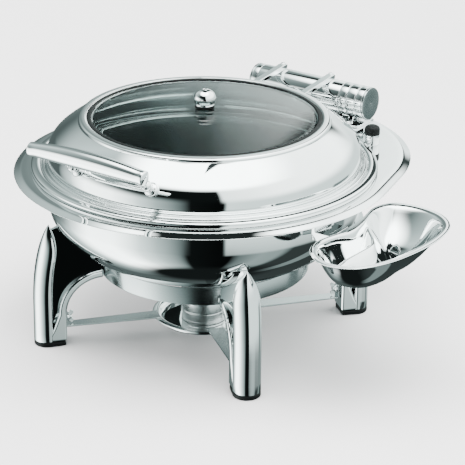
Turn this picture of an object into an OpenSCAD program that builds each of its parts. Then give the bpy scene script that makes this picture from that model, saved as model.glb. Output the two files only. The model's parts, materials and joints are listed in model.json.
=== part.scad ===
// Round chafer with a glass-topped hinged lid, a four-legged stand, a gel burner and a
// spoon rest. Millimetres, +Z up. The origin is on the floor under the lid's centre,
// the lid hinge is towards +Y and the handle towards -Y.

/* [Lid] */
// Outside radius of the lid's rolled rim
lid_r = 200; // [196:1:201]
// Radius of the glass window's rubber gasket
window_r = 135.2; // [128:0.1:136]
// How far the glass bulges above its edge
glass_rise = 11; // [6:1:14]
// Half the length of the handle bar
handle_half = 79; // [60:1:90]

/* [Water pan] */
// Outside radius of the bowl
bowl_r = 181; // [178:1:182]
// Height of the cover plate's top face above the floor
plate_z = 206; // [200:1:210]
// Outside radius of the cover plate
plate_r = 220; // [214:1:226]
// Depth of the food pan below the cover plate
food_depth = 62; // [40:1:68]

/* [Hinge] */
// Distance of the hinge axis behind the lid's centre
hinge_y = 232; // [230:1:236]
// Height of the hinge axis
hinge_z = 232; // [230:1:236]
// Radius of the hinge barrel
barrel_r = 20; // [17:1:20]

/* [Stand] */
// Turn of the four-legged stand under the pan
stand_turn = 5; // [-10:1:10]
// Distance of the legs' outer faces from the centre
leg_out = 204.5; // [200:0.5:208]
// Width of a leg across its round face
leg_w = 32; // [26:1:36]
// Outside radius of the ring that carries the bowl
ring_r = 123.5; // [118:0.5:128]

/* [Burner] */
// Radius of the burner cup
cup_r = 54; // [48:1:60]
// Radius of the fuel can
can_r = 26.5; // [22:0.5:32]
// Height of the fuel can
can_h = 38; // [30:1:42]

/* [Hidden] */
$fn = 96;
sheet = 1.5;            // thickness of the stainless sheet
gap = 0.4;              // free space between pieces that are only stacked
pin_r = 6;              // hinge pin
run = 0.05;             // radial clearance of a running fit
leg_names = ["front_left", "front_right", "rear_right", "rear_left"];
leg_angles = [225, 315, 45, 135];

// Points of an arc in a plane
function arc(c, r, a0, a1, n = 12) =
  [for (i = [0:n]) let (a = a0 + (a1 - a0) * i / n) c + r * [cos(a), sin(a)]];
// Points of an ellipse's arc
function ellipse_arc(c, rx, ry, a0, a1, n = 18) =
  [for (i = [0:n]) let (a = a0 + (a1 - a0) * i / n) c + [rx * cos(a), ry * sin(a)]];
// A closed smooth curve through a few points
function spline(p, n) = [for (i = [0:len(p) - 1], k = [0:n - 1])
  let (m = len(p), a = p[(i + m - 1) % m], b = p[i], c = p[(i + 1) % m],
       d = p[(i + 2) % m], t = k / n)
  0.5 * (2 * b + (c - a) * t + (2 * a - 5 * b + 4 * c - d) * t * t
         + (3 * b - a - 3 * c + d) * t * t * t)];
// Middle of a list of points
function middle(p) = [for (q = p) 1] * p / len(p);
// An outline drawn in towards its middle by a distance
function inset(p, d) = let (c = middle(p))
  [for (q = p) c + (q - c) * (1 - d / norm(q - c))];

// A solid skinned over rings of points, closed by a fan at each end
module skin(rings) {
  n = len(rings[0]);
  m = len(rings);
  polyhedron(
    points = concat([for (r = rings, q = r) q], [middle(rings[0]), middle(rings[m - 1])]),
    faces = concat(
      [for (i = [0:n - 1]) [i, (i + 1) % n, m * n]],
      [for (i = [0:n - 1]) [(m - 1) * n + (i + 1) % n, (m - 1) * n + i, m * n + 1]],
      [for (j = [0:m - 2], i = [0:n - 1], s = [0, 1]) let (k = (i + 1) % n)
        s == 0 ? [j * n + i, (j + 1) * n + i, (j + 1) * n + k]
               : [j * n + i, (j + 1) * n + k, j * n + k]]));
}

// A cylinder along X between two positions
module rod_x(r, x0, x1) { translate([x0, 0, 0]) rotate([0, 90, 0]) cylinder(r = r, h = x1 - x0); }
// Moves its children to the hinge axis
module at_hinge() { translate([0, hinge_y, hinge_z]) children(); }
// Puts its children at each leg's direction
module leg_dir(i) { rotate([0, 0, leg_angles[i] + stand_turn]) children(); }

// ---------------------------------------------------------------- stand
bowl_mid_z = 168;       // height where the bowl's side turns upright
bowl_deep = 87;         // depth of the bowl's curve below that height
bowl_floor = 93;
// Radius of the bowl's outside at a height
function bowl_at(z) = bowl_r * sqrt(1 - pow((bowl_mid_z - z) / bowl_deep, 2));
ring_z0 = 82.3;
ring_top = bowl_mid_z - bowl_deep * sqrt(1 - pow((ring_r - 2) / bowl_r, 2)) - gap;
foot_h = 6;
leg_in = 168;           // distance of a leg's inner face from the centre

arch_foot = 40;         // height where a leg's inner arch springs
// The arch under a leg's web, drawn outwards by a distance
function leg_arch(grow) = ellipse_arc([ring_r, arch_foot], leg_in - ring_r + grow,
                                      ring_z0 - arch_foot + grow, 90, 0, 14);
// Side view of a leg: round back, tip against the bowl, arch down the inside
module leg_profile() {
  polygon(concat(
    [[leg_in, foot_h], [leg_out, foot_h], [leg_out, 56]],
    ellipse_arc([leg_in, 56], leg_out - leg_in, 104, 8, 62, 10),
    [for (z = [147:-5:108]) [bowl_at(z) + gap, z]],
    [[ring_r, ring_top]], leg_arch(0)));
}
// The thick band that follows the arch
band_t = 9;
module leg_band() {
  intersection() {
    leg_profile();
    polygon(concat(leg_arch(band_t), [[leg_out - leg_hw, leg_hw], [leg_out - leg_hw, foot_h],
                                      [leg_in, foot_h]], reversed(leg_arch(0))));
  }
}

// A leg seen from outside: parallel sides closing to a pointed arch
leg_hw = leg_w / 2;
arch_z = 107;           // height where the arch begins
arch_h = 42;
leg_arch_r = (leg_hw * leg_hw + arch_h * arch_h) / leg_w;
module leg_front() {
  a = asin(arch_h / leg_arch_r);
  polygon(concat([[-leg_hw, 0], [leg_hw, 0]],
    arc([leg_hw - leg_arch_r, arch_z], leg_arch_r, 0, a - 2, 8),
    arc([leg_arch_r - leg_hw, arch_z], leg_arch_r, 182 - a, 180, 8)));
}
// A leg seen from above: round outside, flat sides
module leg_plan() {
  translate([leg_out - leg_hw, 0]) circle(r = leg_hw);
  translate([leg_in, -leg_hw]) square([leg_out - leg_hw - leg_in, leg_w]);
}
leg_web = 12;           // thickness of a leg's flat web
// Stands a side view up in a leg's middle plane, with a thickness across it
module leg_slab(t) { rotate([90, 0, 0]) translate([0, 0, -t / 2]) linear_extrude(t) children(); }
module leg(i) {
  color("silver") leg_dir(i) {
    intersection() {
      leg_slab(leg_w) leg_profile();
      rotate([90, 0, 90]) translate([0, 0, 150]) linear_extrude(60) leg_front();
      translate([leg_out - leg_hw, 0, 0]) cylinder(r = leg_hw, h = 160);
    }
    intersection() {
      leg_slab(leg_web) leg_profile();
      rotate([90, 0, 90]) translate([0, 0, 100]) linear_extrude(88) leg_front();
    }
    leg_slab(leg_w) leg_band();
  }
}

module foot(i) { color("black") leg_dir(i) linear_extrude(foot_h) leg_plan(); }

module stand_ring() {
  color("silver") difference() {
    translate([0, 0, ring_z0]) cylinder(r = ring_r, h = ring_top - ring_z0);
    translate([0, 0, ring_z0 - 1]) cylinder(r = ring_r - 2, h = 40);
  }
}

strap_z = 20;
strap_t = 2;
strap_in = cup_r + 1;
strap_end = leg_in;      // a strap ends flat against the leg's inner face
module strap(i) {
  color("silver") leg_dir(i) difference() {
    union() {
      translate([0, 0, strap_z]) linear_extrude(strap_t)
        polygon([[strap_in, -10], [strap_end, -7], [strap_end, 7], [strap_in, 10]]);
      translate([strap_end - strap_t, -7, strap_z]) cube([strap_t, 14, 18]);
    }
    translate([0, 0, screw_z]) rod_x(2.6, strap_end - 5, strap_end + 5);
  }
}
screw_z = 31;           // height of the screws that hold the straps to the legs

module strap_screws() {
  color("gainsboro") for (i = [0:3]) leg_dir(i) translate([0, 0, screw_z]) {
    rod_x(2.5, strap_end - strap_t, strap_end);
    rod_x(5.5, strap_end - strap_t - 4, strap_end - strap_t);
    translate([strap_end - strap_t - 10, -1.5, -8]) cube([6, 3, 16]);
  }
}

// ---------------------------------------------------------------- burner
cup_floor = 11;
module burner_cup() {
  color("silver") rotate_extrude() polygon([
    [0, cup_floor], [cup_r - 3, cup_floor], [cup_r, cup_floor + 3], [cup_r, strap_z - 1.2],
    [cup_r + 7, strap_z - 1.2], [cup_r + 7, strap_z], [cup_r - 1.2, strap_z],
    [cup_r - 1.2, cup_floor + 3.4], [cup_r - 3.4, cup_floor + 1.2], [0, cup_floor + 1.2]]);
}

can_z = cup_floor + 1.2;
can_top = can_z + can_h;
flame_r = 15;           // radius of the can's flame opening
pivot_x = 21;           // place of the damper lid's pivot on the can
module fuel_can() {
  color("lightgray") rotate_extrude() polygon(concat(
    [[0, can_z], [can_r - 1, can_z], [can_r, can_z + 1], [can_r, can_z + 2],
     [can_r - 0.8, can_z + 3], [can_r - 0.8, can_top - 5], [can_r, can_top - 4],
     [can_r, can_top - 1], [can_r - 1, can_top]],
    [[flame_r, can_top], [flame_r, can_top - 12], [flame_r - 1.2, can_top - 13],
     [0, can_top - 13]]));
}
module can_pivot() {
  color("gainsboro") translate([pivot_x, 0, can_top]) {
    cylinder(r = 2, h = 3.2);
    translate([0, 0, 3.2]) cylinder(r = 3.2, h = 1.4);
  }
}
module damper_lid() {
  color("gainsboro") translate([0, 0, can_top + 0.3]) difference() {
    union() {
      cylinder(r = 19, h = 1.5);
      translate([pivot_x, 0, 0]) cylinder(r = 4.6, h = 2.6);
      translate([-34, -3, 0]) cube([18, 6, 1.5]);
      translate([-34, 0, 0]) cylinder(r = 4, h = 8);
    }
    translate([pivot_x, 0, -1]) cylinder(r = 2 + run, h = 6);
  }
}

// ---------------------------------------------------------------- water pan
module water_pan() {
  bottom_a = -asin((bowl_mid_z - bowl_floor) / bowl_deep);
  inner_a = -asin((bowl_mid_z - bowl_floor - sheet) / (bowl_deep - sheet));
  color("silver") rotate_extrude() polygon(concat(
    [[0, bowl_floor]], ellipse_arc([0, bowl_mid_z], bowl_r, bowl_deep, bottom_a, 0),
    [[bowl_r, plate_z - sheet], [bowl_r - sheet, plate_z - sheet]],
    ellipse_arc([0, bowl_mid_z], bowl_r - sheet, bowl_deep - sheet, 0, inner_a),
    [[0, bowl_floor + sheet]]));
}

bevel = 8.5;            // width of the sloping edge of the cover plate
bevel_drop = 4;
lobe_y = 64;            // centre of the wider back of the plate, which carries the hinge
lobe_r = plate_r - 14;
pan_hole_r = 165;       // opening that the food pan hangs in
// The plate's plan shape as a solid with sloping sides
module plate_solid(grow, top) {
  hull() for (p = [[0, plate_r], [lobe_y, lobe_r]]) translate([0, p[0], top - bevel_drop])
    cylinder(r1 = p[1] + grow, r2 = p[1] - bevel + grow, h = bevel_drop);
}
module cover_plate() {
  color("silver") difference() {
    plate_solid(0, plate_z);
    difference() {
      plate_solid(-1.8, plate_z - sheet);
      translate([0, 0, plate_z - sheet]) cylinder(r = 300, h = 10);
    }
    translate([0, 0, plate_z - 20]) cylinder(r = pan_hole_r, h = 40);
    for (p = bolt_spots) translate([p[0], p[1], plate_z - 10]) cylinder(r = 2.6, h = 20);
  }
}

module food_pan() {
  r0 = pan_hole_r - 2;
  z0 = plate_z - food_depth;
  color("gainsboro") rotate_extrude() polygon(concat(
    [[0, z0], [r0 - 14, z0]], arc([r0 - 14, z0 + 14], 14, -90, 0, 6),
    [[r0, plate_z + gap], [r0 + 9, plate_z + gap]], arc([r0 + 9, plate_z + 1.6], 1.2, -90, 90, 6),
    [[r0 - 1.2, plate_z + 2.8]], arc([r0 - 14, z0 + 14], 12.8, 0, -90, 6), [[0, z0 + 1.2]]));
}

// ---------------------------------------------------------------- hinge, fixed part
barrel_half = 83;
sleeve_x0 = -72;        // left end of the turning sleeve
sleeve_x1 = 47;         // right end of the turning sleeve
cap_t = 3;
base_y0 = 207;
base_y1 = 250;
base_t = 3;
cheek_half = 8;         // half the thickness of the cheeks that carry the barrel
bolt_r = 4;             // radius of a bolt's head
bolt_spots = [for (x = [-64, 64], y = [base_y0 + 5.5, base_y1 - 5.5]) [x, y]];
module hinge_cheek(x0, x1) {
  at_hinge() rod_x(barrel_r, x0, x1);
  translate([x0, hinge_y - cheek_half, plate_z + base_t])
    cube([x1 - x0, 2 * cheek_half, hinge_z - plate_z - base_t]);
}
module hinge_base() {
  color("silver") difference() {
    union() {
      translate([-barrel_half + cap_t, base_y0, plate_z])
        cube([2 * (barrel_half - cap_t), base_y1 - base_y0, base_t]);
      hinge_cheek(-barrel_half + cap_t, sleeve_x0 - 0.5);
      hinge_cheek(sleeve_x1 + 0.5, barrel_half - cap_t);
      translate([sleeve_x0 - 1, hinge_y - cheek_half, plate_z + base_t])
        cube([sleeve_x1 - sleeve_x0 + 2, 2 * cheek_half,
              hinge_z - barrel_r - 0.6 - plate_z - base_t]);
    }
    for (x = [57, 70]) at_hinge() difference() {
      rod_x(barrel_r + 1, x, x + 1.6);
      rod_x(barrel_r - 1, x - 1, x + 3);
    }
    at_hinge() rod_x(pin_r, -90, 90);
    for (p = bolt_spots) translate([p[0], p[1], plate_z - 1]) cylinder(r = 2.6, h = base_t + 2);
  }
}
module hinge_pin() { color("gray") at_hinge() rod_x(pin_r, -barrel_half + cap_t, barrel_half - cap_t); }
module hinge_bolts() {
  color("gainsboro") for (p = bolt_spots) translate([p[0], p[1], plate_z - sheet]) {
    cylinder(r = 2.5, h = sheet + base_t);
    translate([0, 0, sheet + base_t]) cylinder(r = bolt_r, h = 2);
    translate([0, 0, -3]) cylinder(r = bolt_r, h = 3, $fn = 6);
  }
}
module barrel_cap(side) {
  color("lightgray") at_hinge() translate([side > 0 ? barrel_half - cap_t : -barrel_half, 0, 0])
    rotate([0, 90, 0]) cylinder(r = barrel_r, h = cap_t);
}
// Torsion damper on the pin, inside the sleeve
module damper_cartridge() {
  color("dimgray") at_hinge() difference() {
    rod_x(13.5, sleeve_x0 + 12, sleeve_x1 - 12);
    rod_x(pin_r, -90, 90);
  }
}
bumper = [121, 173.5];
bumper_r = 8.5;
bumper_h = 12;
module bumper_post() {
  color("silver") translate([bumper[0], bumper[1], plate_z]) cylinder(r = bumper_r, h = bumper_h);
}
module bumper_pad() {
  pad_r = bumper_r + 0.7;
  color("black") translate([bumper[0], bumper[1], plate_z + bumper_h]) rotate_extrude()
    polygon(concat([[0, 0], [pad_r, 0]], arc([pad_r - 5, 6], 5, 0, 90, 6), [[0, 11]]));
}

// ---------------------------------------------------------------- lid
dome_low = [149.7, 220];    // centre of the dome's tight lower curve
dome_low_r = 32;
dome_turn = 50;             // angle at which the flatter upper curve takes over
dome_top_r = 160;
dome_top = dome_low - (dome_top_r - dome_low_r) * [cos(dome_turn), sin(dome_turn)];
dome_end = 60.8;
land_z = dome_top[1] + dome_top_r * sin(dome_end);   // flat land that carries the window
land_r = 128;
lip_z = plate_z + gap;
function dome_curve(t) = concat(arc(dome_low, dome_low_r - t, -14.5, dome_turn, 10),
                                arc(dome_top, dome_top_r - t, dome_turn, dome_end, 6));
function reversed(p) = [for (i = [len(p) - 1:-1:0]) p[i]];
module lid_dome() {
  rim = [[lid_r, lip_z], [lid_r, 209.5], [lid_r - 0.5, 211], [lid_r - 2, 212], [193.5, 213.2],
         [189, 212.4], [188, 211.2], [187.2, 212.4], [185.5, 213.2], [183.8, 212.6],
         [182.6, 211.4]];
  color("silver") rotate_extrude() polygon(concat(
    [[lid_r - 1.4, lip_z]], rim, dome_curve(0), [[land_r, land_z], [land_r, land_z - sheet]],
    reversed(dome_curve(sheet)), [[181, 209.8], [lid_r - 1.4, 209.8]]));
}
bead_r = (window_r + dome_top[0] + dome_top_r * cos(dome_end)) / 2;
bead_w = (dome_top[0] + dome_top_r * cos(dome_end) - window_r) / 2;
module window_bead() {
  color("gainsboro") rotate_extrude() translate([bead_r, land_z]) polygon(
    ellipse_arc([0, 0], bead_w, 4.2, 0, 180, 12));
}
glass_r = window_r - 5;
glass_edge = 3;
module window_gasket() {
  color("black") rotate_extrude() translate([glass_r, land_z])
    polygon([[0, 0], [5, 0], [5, 3.4], [4, 4], [1, 4], [0, 3.4]]);
}
glass_curve = (glass_r * glass_r + glass_rise * glass_rise) / (2 * glass_rise);
glass_top = land_z + glass_edge + glass_rise;
module window_glass() {
  color([0.8, 0.9, 0.9, 0.35]) difference() {
    intersection() {
      translate([0, 0, land_z]) cylinder(r = glass_r, h = 40);
      translate([0, 0, glass_top - glass_curve]) sphere(r = glass_curve);
    }
    intersection() {
      translate([0, 0, land_z - 40]) cylinder(r = land_r, h = 80);
      translate([0, 0, glass_top - glass_curve]) sphere(r = glass_curve - 4);
    }
    cylinder(r = 4.1, h = 400);
  }
}
module vent_knob() {
  z = glass_top + 1.5;
  color("gainsboro") difference() {
    rotate_extrude() polygon(concat(
      [[0, glass_top - 10], [4, glass_top - 10], [4, z], [10, z], [10, z + 2.5], [7, z + 5]],
      ellipse_arc([0, z + 12], 13, 8, -40, 90, 12)));
    translate([0, 0, z - 20]) cylinder(r = 2, h = 60);
  }
}
module vent_washer() {
  color("black") translate([0, 0, glass_top]) difference() {
    translate([0, 0, 0.05]) cylinder(r = 11.5, h = 1.45);
    translate([0, 0, -1]) cylinder(r = 4, h = 5);
  }
}
module vent_nut() {
  color("silver") translate([0, 0, glass_top - 9]) difference() {
    cylinder(r = 8, h = 4.9, $fn = 6);
    translate([0, 0, -1]) cylinder(r = 4, h = 8);
  }
}

module hinge_sleeve() {
  color("silver") at_hinge() difference() {
    rod_x(barrel_r, sleeve_x0, sleeve_x1);
    rod_x(14, sleeve_x0 + 11, sleeve_x1 - 11);
    rod_x(pin_r + run, -90, 90);
  }
}
arm_left_x = -46;
arm_right_x = 24;
arm_w = 9;
arm_t = 6;
arm_root = [150, 249.8];    // top of an arm's inner end, inside the dome's outline
arm_rise = 5.9;             // slope at which the arm meets the barrel's top
// An arm seen from the side: a flat bar from the dome to the top of the barrel
module hinge_arm(x) {
  color("silver") difference() {
    translate([x - arm_w / 2, 0, 0]) rotate([90, 0, 90]) linear_extrude(arm_w) difference() {
      polygon(concat([[arm_root[0], arm_root[1] - arm_t], arm_root],
        arc([hinge_y, hinge_z], barrel_r + arm_t, 90 + arm_rise, 78, 6),
        arc([hinge_y, hinge_z], barrel_r, 78, 90 + arm_rise, 6)));
      translate([hinge_y, hinge_z]) circle(r = barrel_r);
    }
    rotate_extrude() polygon(concat([[0, 200], [dome_low[0], 200]], dome_curve(0), [[0, land_z]]));
  }
}
module arm_screws() {
  color("gainsboro") for (x = [arm_left_x, arm_right_x]) at_hinge() translate([x, 0, 0])
    rotate([-3, 0, 0]) translate([0, 0, barrel_r + arm_t]) cylinder(r = 3.2, h = 2.2);
}

// ---------------------------------------------------------------- handle
handle_y = -217;
handle_z = 272;
arch = 3;               // rise of the bar in its middle
bar_mid = 10.5;         // radius of the bar in its middle
bar_neck = 7.2;         // radius of the bar before its flared ends
knob_r = 8.5;           // radius of the bar's ends
post_x = 50;
arch_r = (handle_half * handle_half + arch * arch) / (2 * arch);
arch_a = asin(handle_half / arch_r);
// Radius of the bar at a share of its half length
function bar_radius(t) = bar_neck + (bar_mid - bar_neck) * (1 - t * t)
  + (knob_r - bar_neck) * pow(max(0, (abs(t) - 0.85) / 0.15), 2);
module handle_bar() {
  color("gainsboro") skin([for (i = [-12:12]) let (t = i / 12, a = t * arch_a, r = bar_radius(t))
    [for (k = [0:15]) let (b = -k * 22.5, up = arch_r + r * cos(b))
      [up * sin(a), handle_y + r * sin(b), handle_z + arch - arch_r + up * cos(a)]]]);
}
post_foot = [-168.5, 238];
module handle_post(side) {
  bar_at = [handle_y, handle_z + arch * (1 - pow(post_x / handle_half, 2))];
  run_v = bar_at - post_foot;
  tilt = atan2(-run_v[0], run_v[1]);
  color("gainsboro") difference() {
    translate([side * post_x, post_foot[0], post_foot[1]]) rotate([tilt, 0, 0]) {
      translate([0, 0, -3]) cylinder(r = 4.2, h = norm(run_v) + 3.6 - bar_radius(post_x / handle_half));
      translate([0, 0, -3]) cylinder(r = 8, h = 7);
      translate([0, 0, 13]) sphere(r = 6.4);
    }
    rotate_extrude() polygon(concat([[0, 200], [dome_low[0], 200]], dome_curve(0), [[0, land_z]]));
  }
}
// Acorn nuts inside the dome that hold the posts
module handle_nuts() {
  color("gainsboro") for (s = [-1, 1]) difference() {
    translate([s * post_x, post_foot[0], post_foot[1]]) rotate([52, 0, 0])
      translate([0, 0, -9]) cylinder(r = 6, h = 9, $fn = 6);
    rotate_extrude() difference() {
      translate([0, 190]) square([260, 120]);
      polygon(concat([[0, 200], [dome_low[0], 200]], dome_curve(sheet), [[0, land_z]]));
    }
  }
}

// ---------------------------------------------------------------- spoon rest
dish_z = 188;           // height of the dish's rim
dish_deep = 39;
dish_rim = [[207, -84], [218, -114], [244, -132], [277, -125], [299, -92], [310, -45],
            [312, 0], [303, 40], [280, 64], [248, 72], [218, 65], [206, 40], [212, 0],
            [214, -42]];
// Crest of the divider that parts the dish into two hollows
divider = [[206, 17], [227, -7], [242, -24], [251, -42], [251, -66], [250, -88], [252, -107],
           [256, -128]];
divider_drop = 8;       // depth of the crest below the rim
divider_slope = 1.3;
wall_reach = 28;        // how far in from the rim the dish's wall comes down to its floor
wall_swing = 6;         // how much farther it reaches on the side away from the bowl
wall_front = 8;         // how much farther at the front end
wall_back = 30;         // how much farther at the back end, which rises like a bow
// The wall's reach in a direction from the dish's middle
function reach_at(v) = let (u = v / norm(v))
  wall_reach + wall_swing * u[0] + (u[1] < 0 ? wall_front : wall_back) * u[1] * u[1];
// Share of the dish's depth at a distance in from the rim
function press_depth(dist, reach) = 1 - pow(1 - min(1, dist / reach), 2);
function point_to_line(p, a, b) = let (u = b - a, t = min(1, max(0, (p - a) * u / (u * u))))
  norm(p - a - t * u);
function divider_height(p) = dish_z - divider_drop - divider_slope * min([
  for (i = [0:len(divider) - 2]) point_to_line(p, divider[i], divider[i + 1])]);
// A ring of the dish part of the way in from its rim, lowered by the pressed depth
function dish_ring(rim, t, deep, top) = let (c = middle(rim)) [for (q = rim)
  let (p = q + (c - q) * t)
  [p[0], p[1], top - deep * press_depth(t * norm(q - c), reach_at(q - c))]];
module spoon_dish() {
  rim = spline(dish_rim, 4);
  inner_rim = inset(rim, 6);
  steps = [0, 0.05, 0.1, 0.16, 0.23, 0.31, 0.4, 0.52, 0.66, 0.8, 0.96];
  inner_steps = [0, 0.06, 0.12, 0.19, 0.26, 0.34, 0.42, 0.5, 0.6, 0.7, 0.8, 0.9];
  color("silver") skin(concat(
    [for (i = [len(steps) - 1:-1:0]) dish_ring(rim, steps[i], dish_deep, dish_z - 1.5)],
    [[for (q = rim) [q[0], q[1], dish_z]]],
    [for (t = inner_steps) [for (q = dish_ring(inner_rim, t, dish_deep - 5, dish_z))
      [q[0], q[1], max(q[2], t == 0 ? dish_z : divider_height([q[0], q[1]]))]]]));
}
tongue_z = 176;
tongue_y = -50;
tongue_w = 30;
module dish_tongue() {
  color("gainsboro") translate([187, tongue_y, tongue_z]) cube([32, tongue_w, 4]);
}
module dish_bracket() {
  color("silver") difference() {
    translate([170, tongue_y - 3, tongue_z - 3]) cube([37, tongue_w + 6, plate_z - sheet - tongue_z + 3]);
    translate([0, 0, 100]) cylinder(r = bowl_r, h = 120);
    translate([160, tongue_y - gap, tongue_z - gap]) cube([60, tongue_w + 2 * gap, 4 + 2 * gap]);
    translate([186, tongue_y - 10, tongue_z + 7]) cube([60, tongue_w + 20, 60]);
  }
}

// ---------------------------------------------------------------- the parts
for (i = [0:3]) {
  leg(i);
  foot(i);
  strap(i);
}
stand_ring();
strap_screws();
burner_cup();
fuel_can();
can_pivot();
damper_lid();
water_pan();
cover_plate();
food_pan();
hinge_base();
hinge_pin();
hinge_bolts();
damper_cartridge();
barrel_cap(-1);  // barrel_cap_left
barrel_cap(1);  // barrel_cap_right
bumper_post();
bumper_pad();
lid_dome();
window_bead();
window_gasket();
window_glass();
vent_knob();
vent_washer();
vent_nut();
hinge_sleeve();
hinge_arm(arm_left_x);  // hinge_arm_left
hinge_arm(arm_right_x);  // hinge_arm_right
arm_screws();
handle_bar();
handle_post(-1);  // handle_post_left
handle_post(1);  // handle_post_right
handle_nuts();
dish_bracket();
spoon_dish();
dish_tongue();
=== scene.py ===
import json
import math

import bmesh
import bpy
from mathutils import Matrix, Vector


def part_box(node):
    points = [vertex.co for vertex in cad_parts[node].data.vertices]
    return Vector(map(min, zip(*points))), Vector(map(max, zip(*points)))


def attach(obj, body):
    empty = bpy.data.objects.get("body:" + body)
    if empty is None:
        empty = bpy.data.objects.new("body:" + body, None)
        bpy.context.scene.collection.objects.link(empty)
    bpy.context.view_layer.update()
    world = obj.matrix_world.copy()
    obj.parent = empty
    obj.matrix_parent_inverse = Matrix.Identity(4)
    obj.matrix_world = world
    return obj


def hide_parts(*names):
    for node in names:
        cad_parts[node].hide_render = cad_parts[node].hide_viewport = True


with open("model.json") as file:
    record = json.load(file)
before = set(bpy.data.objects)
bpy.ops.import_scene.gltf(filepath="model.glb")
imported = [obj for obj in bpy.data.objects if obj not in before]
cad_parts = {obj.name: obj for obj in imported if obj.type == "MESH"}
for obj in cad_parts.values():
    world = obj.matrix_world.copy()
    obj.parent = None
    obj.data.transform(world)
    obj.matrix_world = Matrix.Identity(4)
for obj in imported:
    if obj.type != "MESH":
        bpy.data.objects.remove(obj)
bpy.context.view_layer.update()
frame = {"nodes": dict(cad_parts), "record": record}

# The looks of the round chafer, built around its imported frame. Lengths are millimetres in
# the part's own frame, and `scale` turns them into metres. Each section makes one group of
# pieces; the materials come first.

scale = 0.001
tau = 2 * math.pi
around = 192            # segments of the large turned pieces


def low(node):
    """Lowest corner of a CAD node, in millimetres."""
    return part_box(node)[0] / scale


def high(node):
    """Highest corner of a CAD node, in millimetres."""
    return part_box(node)[1] / scale


# ------------------------------------------------------------------ materials
def new_material(name):
    """An empty material with its Principled shader, and helpers to add nodes to it."""
    material = bpy.data.materials.new(name)
    material.use_nodes = True
    tree = material.node_tree
    shader = next(n for n in tree.nodes if n.type == "BSDF_PRINCIPLED")
    place = tree.nodes.new("ShaderNodeTexCoord").outputs["Object"]
    return material, tree, shader, place


def add_noise(tree, place, size, detail=3.0):
    """Noise with features of a given size in metres."""
    noise = tree.nodes.new("ShaderNodeTexNoise")
    noise.inputs["Scale"].default_value = 1 / size
    noise.inputs["Detail"].default_value = detail
    tree.links.new(place, noise.inputs["Vector"])
    return noise.outputs["Fac"]


def remap(tree, value, low_out, high_out, low_in=0.3, high_in=0.7):
    """A value brought from one range into another."""
    node = tree.nodes.new("ShaderNodeMapRange")
    node.inputs["From Min"].default_value = low_in
    node.inputs["From Max"].default_value = high_in
    node.inputs["To Min"].default_value = low_out
    node.inputs["To Max"].default_value = high_out
    tree.links.new(value, node.inputs["Value"])
    return node.outputs["Result"]


def ramp(tree, value, stops):
    """A colour from a value, through (position, colour) stops."""
    node = tree.nodes.new("ShaderNodeValToRGB")
    while len(node.color_ramp.elements) < len(stops):
        node.color_ramp.elements.new(0.5)
    for element, (position, colour) in zip(node.color_ramp.elements, stops):
        element.position = position
        element.color = (*colour, 1)
    tree.links.new(value, node.inputs["Fac"])
    return node.outputs["Color"]


def add_bump(tree, shader, height, strength, depth):
    """Surface relief of a depth in metres."""
    bump = tree.nodes.new("ShaderNodeBump")
    bump.inputs["Strength"].default_value = strength
    bump.inputs["Distance"].default_value = depth
    tree.links.new(height, bump.inputs["Height"])
    tree.links.new(bump.outputs["Normal"], shader.inputs["Normal"])


def spin_marks(tree, place, pitch):
    """Fine rings about the part's own axis, as spinning and polishing leave them."""
    split = tree.nodes.new("ShaderNodeSeparateXYZ")
    tree.links.new(place, split.inputs["Vector"])
    flat = tree.nodes.new("ShaderNodeCombineXYZ")
    tree.links.new(split.outputs["X"], flat.inputs["X"])
    tree.links.new(split.outputs["Y"], flat.inputs["Y"])
    radius = tree.nodes.new("ShaderNodeVectorMath")
    radius.operation = "LENGTH"
    tree.links.new(flat.outputs["Vector"], radius.inputs[0])
    rings = tree.nodes.new("ShaderNodeCombineXYZ")
    tree.links.new(radius.outputs["Value"], rings.inputs["X"])
    tree.links.new(split.outputs["Z"], rings.inputs["Y"])
    return add_noise(tree, rings.outputs["Vector"], pitch, detail=2.0)


def steel(name, tint, shine, spread, pitch=0.0012):
    """Stainless steel or chrome: spun marks, a few clouded patches, colour drift."""
    material, tree, shader, place = new_material(name)
    shader.inputs["Metallic"].default_value = 1.0
    marks = spin_marks(tree, place, pitch)
    cloud = add_noise(tree, place, 0.05)
    mixed = tree.nodes.new("ShaderNodeMath")
    mixed.operation = "MULTIPLY_ADD"
    marks_share = 0.35
    mixed.inputs[1].default_value = marks_share
    tree.links.new(marks, mixed.inputs[0])
    tree.links.new(cloud, mixed.inputs[2])
    rough = remap(tree, mixed.outputs["Value"], shine, shine + spread, 0.45, 0.85)
    tree.links.new(rough, shader.inputs["Roughness"])
    darker = tuple(c * 0.95 for c in tint)
    colour = ramp(tree, cloud, [(0.35, darker), (0.65, tint)])
    tree.links.new(colour, shader.inputs["Base Color"])
    add_bump(tree, shader, marks, 0.02, 0.0002)
    return material


def pan_steel_painted_shade_and_highlight(name):
    """Satin steel, with painted shade darkening the inside of the pan and a painted highlight
    brightening its rim.
    """
    material, tree, shader, place = new_material(name)
    shader.inputs["Metallic"].default_value = 1.0
    split = tree.nodes.new("ShaderNodeSeparateXYZ")
    tree.links.new(place, split.inputs["Vector"])
    # Below this height the base colour is painted shade inside the pan. Above it the colour is a
    # painted highlight on the rim.
    painted_shade_below, painted_highlight_above = 0.190, 0.206
    height = remap(tree, split.outputs["Z"], 0, 1, painted_shade_below, painted_highlight_above)
    colour = ramp(tree, height, [(0.0, (0.15, 0.175, 0.175)), (0.55, (0.20, 0.23, 0.23)),
                                 (0.8, (0.62, 0.66, 0.66))])
    tree.links.new(colour, shader.inputs["Base Color"])
    cloud = add_noise(tree, place, 0.03)
    tree.links.new(remap(tree, cloud, 0.16, 0.26), shader.inputs["Roughness"])
    add_bump(tree, shader, spin_marks(tree, place, 0.0015), 0.005, 0.0002)
    return material


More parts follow.
